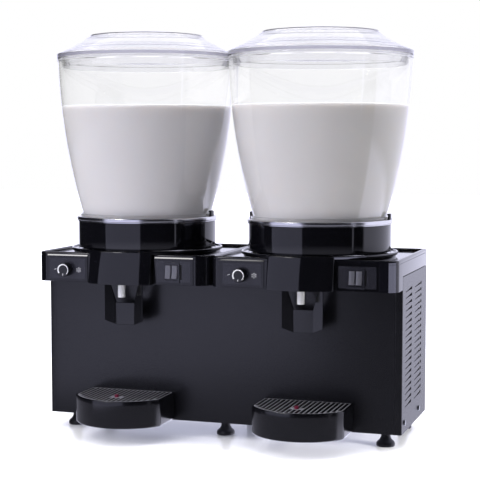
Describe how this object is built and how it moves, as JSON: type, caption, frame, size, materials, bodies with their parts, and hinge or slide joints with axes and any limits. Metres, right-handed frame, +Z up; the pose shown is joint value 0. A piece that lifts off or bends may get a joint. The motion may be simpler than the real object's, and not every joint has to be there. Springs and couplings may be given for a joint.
{
  "type": "cold drink dispenser",
  "caption": "Cold drink dispenser: clear lidded bowls on chilled cups with stirring impellers, push-lever taps and lift-off drip trays on a vented black cabinet.",
  "frame": {"origin": "middle of the footprint, on the floor under the feet", "axes": "+X to the right seen from the front, +Y to the back, +Z up"},
  "size_m": [0.564, 0.3014, 0.6191],
  "materials": {
    "black_painted_steel": "satin black paint on folded sheet",
    "zinc_plated_steel": "dull zinc plate",
    "black_shell": "thick black enamel",
    "aluminium_fins": "mill finish",
    "copper_tube": "drawn tube",
    "white_plastic": "moulded, matt",
    "black_gloss_moulding": "polished moulding",
    "black_matt_moulding": "fine matt grain",
    "clear_polycarbonate": "clear, polished",
    "polished_stainless": "polished sheet",
    "ivory_foam": "closed-cell foam",
    "seal_rubber": "soft, matt",
    "pale_spout_plastic": "smooth moulding",
    "red_float_plastic": "smooth moulding"
  },
  "bodies": {
    "cabinet": {"base_pan": "zinc_plated_steel", "front_panel": "black_painted_steel", "left_side_panel": "black_painted_steel", "right_side_panel": "black_painted_steel", "rear_panel": "black_painted_steel", "motor_plate": "zinc_plated_steel", "compressor": "black_shell", "condenser": "aluminium_fins", "fan_motor": "black_shell", "panel_screws": "zinc_plated_steel", "mains_inlet": "black_matt_moulding", "bowl_seals": "seal_rubber", "drive_motors": "black_shell", "lever_pins": "zinc_plated_steel", "thermostats": "black_matt_moulding", "switch_bodies": "black_matt_moulding", "insulation_rings": "ivory_foam", "cooling_coils": "copper_tube", "spouts": "pale_spout_plastic", "seat_rings": "polished_stainless", "tap_bodies": "black_matt_moulding", "cooling_cups": "polished_stainless", "left_deck": "black_gloss_moulding", "left_collar": "black_gloss_moulding", "right_deck": "black_gloss_moulding", "right_collar": "black_gloss_moulding", "left_tap_spring": "zinc_plated_steel", "right_tap_spring": "zinc_plated_steel"},
    "fan": {"fan_blade": "white_plastic"},
    "front_left_foot": {"front_left_foot": "black_matt_moulding"},
    "front_middle_foot": {"front_middle_foot": "black_matt_moulding"},
    "front_right_foot": {"front_right_foot": "black_matt_moulding"},
    "rear_left_foot": {"rear_left_foot": "black_matt_moulding"},
    "rear_middle_foot": {"rear_middle_foot": "black_matt_moulding"},
    "rear_right_foot": {"rear_right_foot": "black_matt_moulding"},
    "left_bowl": {"left_bowl": "clear_polycarbonate"},
    "left_lid": {"left_lid": "clear_polycarbonate"},
    "left_impeller": {"left_impeller": "white_plastic"},
    "left_magnet_drive": {"left_magnet_drive": "zinc_plated_steel"},
    "left_tap_valve": {"left_tap_valve": "zinc_plated_steel"},
    "left_lever": {"left_lever": "black_matt_moulding"},
    "left_knob": {"left_knob": "black_matt_moulding"},
    "left_mixer_rocker": {"left_mixer_rocker": "black_matt_moulding"},
    "left_cooling_rocker": {"left_cooling_rocker": "black_matt_moulding"},
    "left_drip_tray": {"left_drip_tray": "black_matt_moulding"},
    "left_tray_grille": {"left_tray_grille": "black_matt_moulding"},
    "left_tray_float": {"left_tray_float": "red_float_plastic"},
    "right_bowl": {"right_bowl": "clear_polycarbonate"},
    "right_lid": {"right_lid": "clear_polycarbonate"},
    "right_impeller": {"right_impeller": "white_plastic"},
    "right_magnet_drive": {"right_magnet_drive": "zinc_plated_steel"},
    "right_tap_valve": {"right_tap_valve": "zinc_plated_steel"},
    "right_lever": {"right_lever": "black_matt_moulding"},
    "right_knob": {"right_knob": "black_matt_moulding"},
    "right_mixer_rocker": {"right_mixer_rocker": "black_matt_moulding"},
    "right_cooling_rocker": {"right_cooling_rocker": "black_matt_moulding"},
    "right_drip_tray": {"right_drip_tray": "black_matt_moulding"},
    "right_tray_grille": {"right_tray_grille": "black_matt_moulding"},
    "right_tray_float": {"right_tray_float": "red_float_plastic"}
  },
  "joints": [
    {"name": "fan_spin", "type": "hinge", "parent": "cabinet", "child": "fan", "pos_m": [0.214, 0.04775, 0.1157], "axis": [1, 0, 0], "continuous": true},
    {"name": "front_left_foot_turn", "type": "hinge", "parent": "cabinet", "child": "front_left_foot", "pos_m": [-0.25, -0.01675, 0], "axis": [0, 0, 1], "continuous": true},
    {"name": "front_middle_foot_turn", "type": "hinge", "parent": "cabinet", "child": "front_middle_foot", "pos_m": [0, -0.01675, 0], "axis": [0, 0, 1], "continuous": true},
    {"name": "front_right_foot_turn", "type": "hinge", "parent": "cabinet", "child": "front_right_foot", "pos_m": [0.25, -0.01675, 0], "axis": [0, 0, 1], "continuous": true},
    {"name": "rear_left_foot_turn", "type": "hinge", "parent": "cabinet", "child": "rear_left_foot", "pos_m": [-0.25, 0.11225, 0], "axis": [0, 0, 1], "continuous": true},
    {"name": "rear_middle_foot_turn", "type": "hinge", "parent": "cabinet", "child": "rear_middle_foot", "pos_m": [0, 0.11225, 0], "axis": [0, 0, 1], "continuous": true},
    {"name": "rear_right_foot_turn", "type": "hinge", "parent": "cabinet", "child": "rear_right_foot", "pos_m": [0.25, 0.11225, 0], "axis": [0, 0, 1], "continuous": true},
    {"name": "left_bowl_lift", "type": "slide", "parent": "cabinet", "child": "left_bowl", "axis": [0, 0, 1], "range_m": [0, 0.08]},
    {"name": "left_lid_lift", "type": "slide", "parent": "left_bowl", "child": "left_lid", "axis": [0, 0, 1], "range_m": [0, 0.06]},
    {"name": "left_magnet_spin", "type": "hinge", "parent": "cabinet", "child": "left_magnet_drive", "pos_m": [-0.14, 0.01175, 0.28], "axis": [0, 0, 1], "continuous": true},
    {"name": "left_impeller_spin", "type": "hinge", "parent": "cabinet", "child": "left_impeller", "pos_m": [-0.14, 0.01175, 0.3], "axis": [0, 0, 1], "continuous": true},
    {"name": "left_lever_push", "type": "hinge", "parent": "cabinet", "child": "left_lever", "pos_m": [-0.14, -0.07975, 0.266], "axis": [1, 0, 0], "range_deg": [0, 12], "stiffness_Nm_per_rad": 0.6, "springref_deg": -8.59},
    {"name": "left_valve_slide", "type": "slide", "parent": "cabinet", "child": "left_tap_valve", "axis": [0, 1, 0], "range_m": [0, 0.0027], "deforming": ["left_tap_spring"]},
    {"name": "left_knob_turn", "type": "hinge", "parent": "cabinet", "child": "left_knob", "pos_m": [-0.232, -0.09775, 0.255], "axis": [0, 1, 0], "range_deg": [0, 270]},
    {"name": "left_mixer_switch", "type": "hinge", "parent": "cabinet", "child": "left_mixer_rocker", "pos_m": [-0.0652, -0.08775, 0.255], "axis": [1, 0, 0], "range_deg": [0, 16]},
    {"name": "left_cooling_switch", "type": "hinge", "parent": "cabinet", "child": "left_cooling_rocker", "pos_m": [-0.0548, -0.08775, 0.255], "axis": [1, 0, 0], "range_deg": [0, 16]},
    {"name": "left_tray_pull", "type": "slide", "parent": "cabinet", "child": "left_drip_tray", "axis": [0, -1, 0], "range_m": [0, 0.12]},
    {"name": "left_grille_lift", "type": "slide", "parent": "left_drip_tray", "child": "left_tray_grille", "axis": [0, 0, 1], "range_m": [0, 0.03]},
    {"name": "left_float_rise", "type": "slide", "parent": "left_drip_tray", "child": "left_tray_float", "axis": [0, 0, 1], "range_m": [0, 0.006]},
    {"name": "right_bowl_lift", "type": "slide", "parent": "cabinet", "child": "right_bowl", "axis": [0, 0, 1], "range_m": [0, 0.08]},
    {"name": "right_lid_lift", "type": "slide", "parent": "right_bowl", "child": "right_lid", "axis": [0, 0, 1], "range_m": [0, 0.06]},
    {"name": "right_magnet_spin", "type": "hinge", "parent": "cabinet", "child": "right_magnet_drive", "pos_m": [0.14, 0.01175, 0.28], "axis": [0, 0, 1], "continuous": true},
    {"name": "right_impeller_spin", "type": "hinge", "parent": "cabinet", "child": "right_impeller", "pos_m": [0.14, 0.01175, 0.3], "axis": [0, 0, 1], "continuous": true},
    {"name": "right_lever_push", "type": "hinge", "parent": "cabinet", "child": "right_lever", "pos_m": [0.14, -0.07975, 0.266], "axis": [1, 0, 0], "range_deg": [0, 12], "stiffness_Nm_per_rad": 0.6, "springref_deg": -8.59},
    {"name": "right_valve_slide", "type": "slide", "parent": "cabinet", "child": "right_tap_valve", "axis": [0, 1, 0], "range_m": [0, 0.0027], "deforming": ["right_tap_spring"]},
    {"name": "right_knob_turn", "type": "hinge", "parent": "cabinet", "child": "right_knob", "pos_m": [0.048, -0.09775, 0.255], "axis": [0, 1, 0], "range_deg": [0, 270]},
    {"name": "right_mixer_switch", "type": "hinge", "parent": "cabinet", "child": "right_mixer_rocker", "pos_m": [0.2148, -0.08775, 0.255], "axis": [1, 0, 0], "range_deg": [0, 16]},
    {"name": "right_cooling_switch", "type": "hinge", "parent": "cabinet", "child": "right_cooling_rocker", "pos_m": [0.2252, -0.08775, 0.255], "axis": [1, 0, 0], "range_deg": [0, 16]},
    {"name": "right_tray_pull", "type": "slide", "parent": "cabinet", "child": "right_drip_tray", "axis": [0, -1, 0], "range_m": [0, 0.12]},
    {"name": "right_grille_lift", "type": "slide", "parent": "right_drip_tray", "child": "right_tray_grille", "axis": [0, 0, 1], "range_m": [0, 0.03]},
    {"name": "right_float_rise", "type": "slide", "parent": "right_drip_tray", "child": "right_tray_float", "axis": [0, 0, 1], "range_m": [0, 0.006]}
  ],
  "couplings": [
    {"joint": "left_impeller_spin", "follows": "left_magnet_spin", "ratio": 1},
    {"joint": "left_valve_slide", "follows": "left_lever_push", "m_per_rad": 0.012},
    {"joint": "right_impeller_spin", "follows": "right_magnet_spin", "ratio": 1},
    {"joint": "right_valve_slide", "follows": "right_lever_push", "m_per_rad": 0.012}
  ]
}
